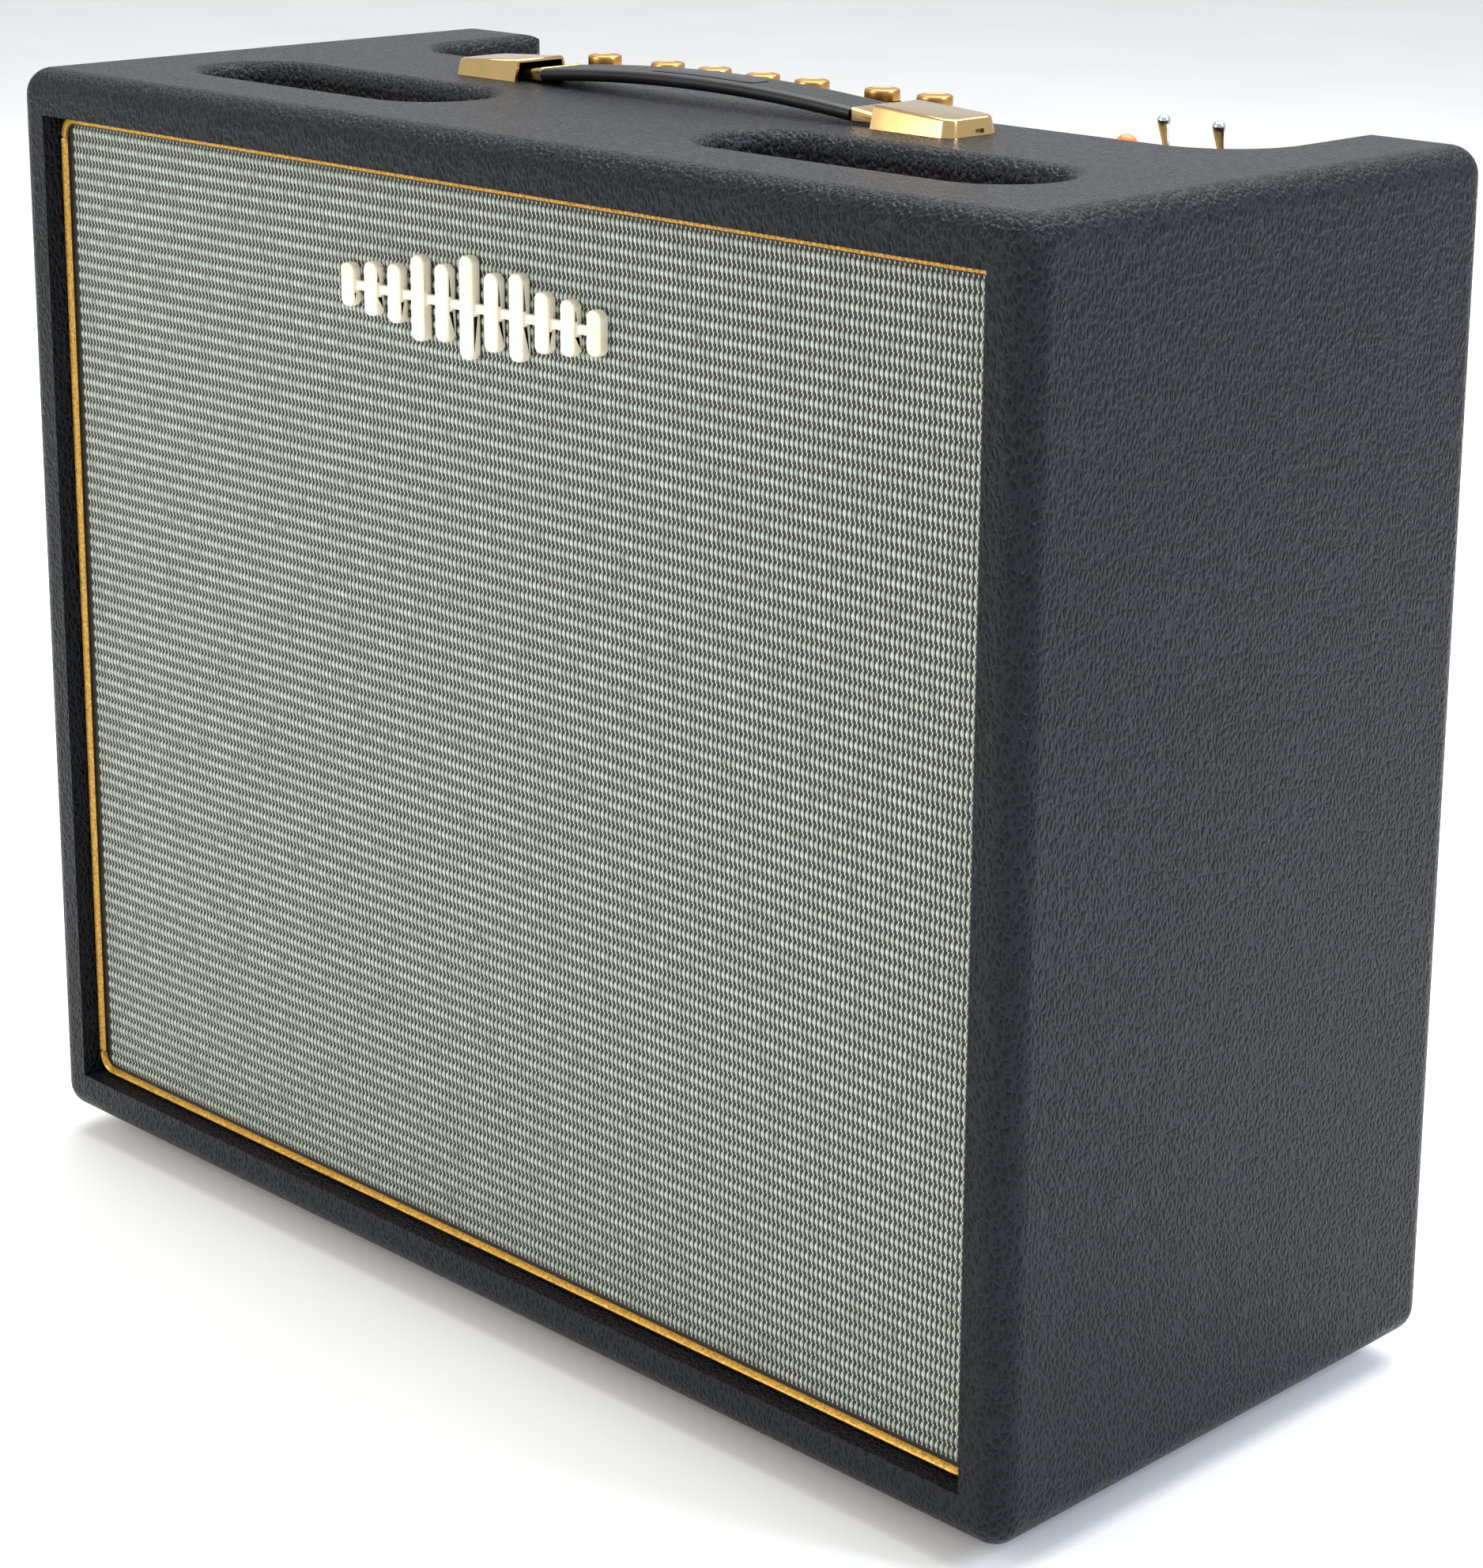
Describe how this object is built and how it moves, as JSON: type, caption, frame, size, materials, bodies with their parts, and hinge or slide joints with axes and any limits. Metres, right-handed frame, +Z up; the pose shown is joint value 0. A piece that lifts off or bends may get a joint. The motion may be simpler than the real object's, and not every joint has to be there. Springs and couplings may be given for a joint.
{
  "type": "guitar combo amplifier",
  "caption": "Valve guitar combo: grained black cabinet with woven grille, gold piping, strap handle, vent slots and a recessed top panel with knobs, lamp and switches.",
  "frame": {"origin": "on the floor, under the middle of the cabinet", "axes": "+X to the viewer's right seen from the front, -Y the front with the grille, +Z up"},
  "size_m": [0.6, 0.272, 0.5236],
  "materials": {
    "plywood": "plain birch ply",
    "vinyl": "black grained vinyl covering",
    "grille_cloth": "woven pale grey-green on black",
    "gold_cord": "twisted metallic gold cord",
    "cream_plastic": "moulded, satin gloss",
    "foot_rubber": "moulded",
    "black_screw": "black oxide",
    "zinc_steel": "zinc plated",
    "gold_plate": "polished gold plate",
    "strap_rubber": "ribbed, satin gloss",
    "gold_anodised": "gold anodised, brushed",
    "black_moulding": "moulded",
    "amber_lens": "clear amber, faceted",
    "nickel": "bright nickel",
    "white_moulding": "moulded",
    "circuit_board": "green solder mask",
    "black_enamel": "satin black",
    "valve_glass": "clear glass",
    "gasket_card": "card",
    "ferrite": "ground ferrite",
    "cone_paper": "black pressed paper",
    "coil_copper": "enamelled copper",
    "surround_cloth": "doped cloth",
    "spider_cloth": "resin-stiffened cloth",
    "lead_jacket": "PVC jacket",
    "knob_black": "moulded, ribbed",
    "knob_gold": "spun and brushed gold"
  },
  "bodies": {
    "root": {"cabinet_top": "plywood", "cabinet_bottom": "plywood", "cabinet_left": "plywood", "cabinet_right": "plywood", "cleats": "plywood", "baffle_board": "plywood", "vinyl_covering": "vinyl", "upper_back_panel": "vinyl", "lower_back_panel": "vinyl", "grille_cloth": "grille_cloth", "piping": "gold_cord", "emblem": "cream_plastic", "feet": "foot_rubber", "wood_screws": "black_screw", "machine_screws": "zinc_steel", "handle_cap_left": "gold_plate", "handle_cap_right": "gold_plate", "chassis": "zinc_steel", "control_panel": "gold_anodised", "jack_sockets": "black_moulding", "lamp_lens": "amber_lens", "toggle_bushings": "nickel", "potentiometers": "zinc_steel", "circuit_board": "circuit_board", "mains_transformer": "black_enamel", "output_transformer": "black_enamel", "valve_sockets": "black_moulding", "preamp_valves": "valve_glass", "power_valves": "valve_glass", "mains_inlet": "black_moulding", "vent_grille": "black_enamel", "speaker_basket": "black_enamel", "speaker_gasket": "gasket_card", "magnet": "ferrite", "motor_plates": "zinc_steel", "surround": "surround_cloth", "spider": "spider_cloth", "speaker_lead": "lead_jacket"},
    "handle": {"handle_strap": "strap_rubber", "strap_ferrules": "gold_plate"},
    "power_lever": {"toggle_power": "nickel"},
    "standby_lever": {"toggle_standby": "nickel"},
    "pull_switch": {"pull_plunger": "white_moulding"},
    "speaker_cone": {"cone": "cone_paper", "dust_cap": "cone_paper", "voice_coil": "coil_copper"},
    "gain_control": {"knob_gain": "knob_black", "cap_gain": "knob_gold"},
    "tilt_control": {"knob_tilt": "knob_black", "cap_tilt": "knob_gold"},
    "bass_control": {"knob_bass": "knob_black", "cap_bass": "knob_gold"},
    "middle_control": {"knob_middle": "knob_black", "cap_middle": "knob_gold"},
    "treble_control": {"knob_treble": "knob_black", "cap_treble": "knob_gold"},
    "presence_control": {"knob_presence": "knob_black", "cap_presence": "knob_gold"},
    "master_control": {"knob_master": "knob_black", "cap_master": "knob_gold"}
  },
  "joints": [
    {"name": "handle_lift", "type": "slide", "parent": "root", "child": "handle", "axis": [0, 0, 1], "range_m": [0, 0.0025]},
    {"name": "power_switch", "type": "hinge", "parent": "root", "child": "power_lever", "pos_m": [0.18, 0.087, 0.5], "axis": [-1, 0, 0], "range_deg": [0, 22]},
    {"name": "standby_switch", "type": "hinge", "parent": "root", "child": "standby_lever", "pos_m": [0.2075, 0.087, 0.5], "axis": [-1, 0, 0], "range_deg": [0, 22]},
    {"name": "gain_pull", "type": "slide", "parent": "root", "child": "pull_switch", "axis": [0, 0, 1], "range_m": [0, 0.0035]},
    {"name": "gain_turn", "type": "hinge", "parent": "pull_switch", "child": "gain_control", "pos_m": [-0.151, 0.087, 0.5], "axis": [0, 0, 1], "range_deg": [-150, 150]},
    {"name": "tilt_turn", "type": "hinge", "parent": "root", "child": "tilt_control", "pos_m": [-0.109, 0.087, 0.5], "axis": [0, 0, 1], "range_deg": [-150, 150]},
    {"name": "bass_turn", "type": "hinge", "parent": "root", "child": "bass_control", "pos_m": [-0.0786, 0.087, 0.5], "axis": [0, 0, 1], "range_deg": [-150, 150]},
    {"name": "middle_turn", "type": "hinge", "parent": "root", "child": "middle_control", "pos_m": [-0.0482, 0.087, 0.5], "axis": [0, 0, 1], "range_deg": [-150, 150]},
    {"name": "treble_turn", "type": "hinge", "parent": "root", "child": "treble_control", "pos_m": [-0.0178, 0.087, 0.5], "axis": [0, 0, 1], "range_deg": [-150, 150]},
    {"name": "presence_turn", "type": "hinge", "parent": "root", "child": "presence_control", "pos_m": [0.0242, 0.087, 0.5], "axis": [0, 0, 1], "range_deg": [-150, 150]},
    {"name": "master_turn", "type": "hinge", "parent": "root", "child": "master_control", "pos_m": [0.0546, 0.087, 0.5], "axis": [0, 0, 1], "range_deg": [-150, 150]},
    {"name": "cone_travel", "type": "slide", "parent": "root", "child": "speaker_cone", "axis": [0, 1, 0], "range_m": [-0.004, 0.004], "stiffness_N_per_m": 4000, "deforming": ["surround", "spider"]}
  ]
}
